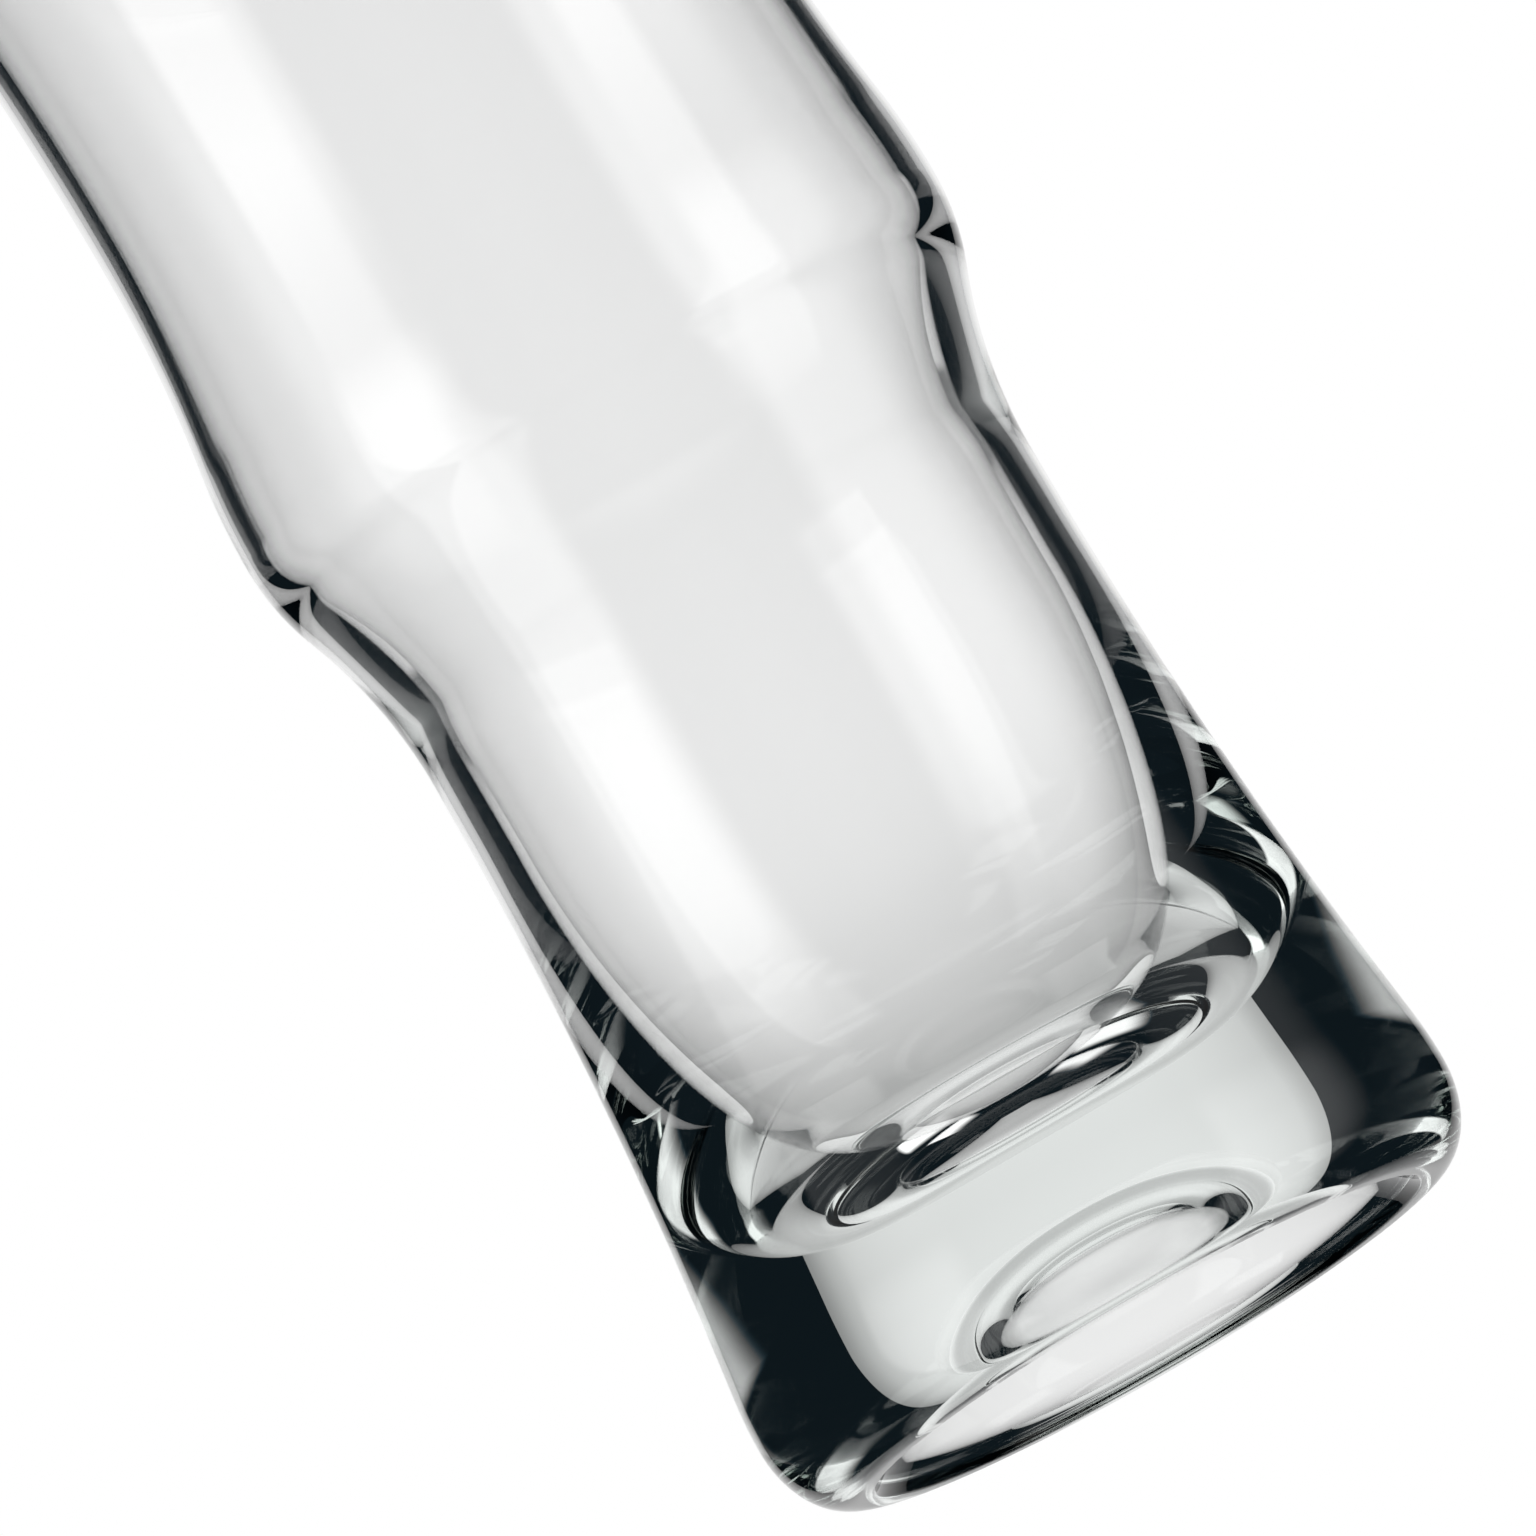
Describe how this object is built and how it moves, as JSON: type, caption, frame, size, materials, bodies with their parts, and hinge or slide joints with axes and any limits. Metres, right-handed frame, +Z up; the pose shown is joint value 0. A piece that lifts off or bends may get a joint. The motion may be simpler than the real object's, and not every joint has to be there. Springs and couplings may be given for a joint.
{
  "type": "mixing glass",
  "caption": "Tall clear mixing glass with a heavy solid foot, a slim waist, a soft belly half way up and a slightly flared rounded rim.",
  "frame": {"origin": "middle of the ring that the glass rests on, in the plane of the table", "axes": "+Z up along the glass's own axis, from the foot to the rim; +X and +Y are free, because the glass is round"},
  "size_m": [0.076, 0.076, 0.18],
  "materials": {
    "clear_glass": "fire-polished, clear"
  },
  "bodies": {
    "root": {"glass_body": "clear_glass"}
  },
  "joints": []
}
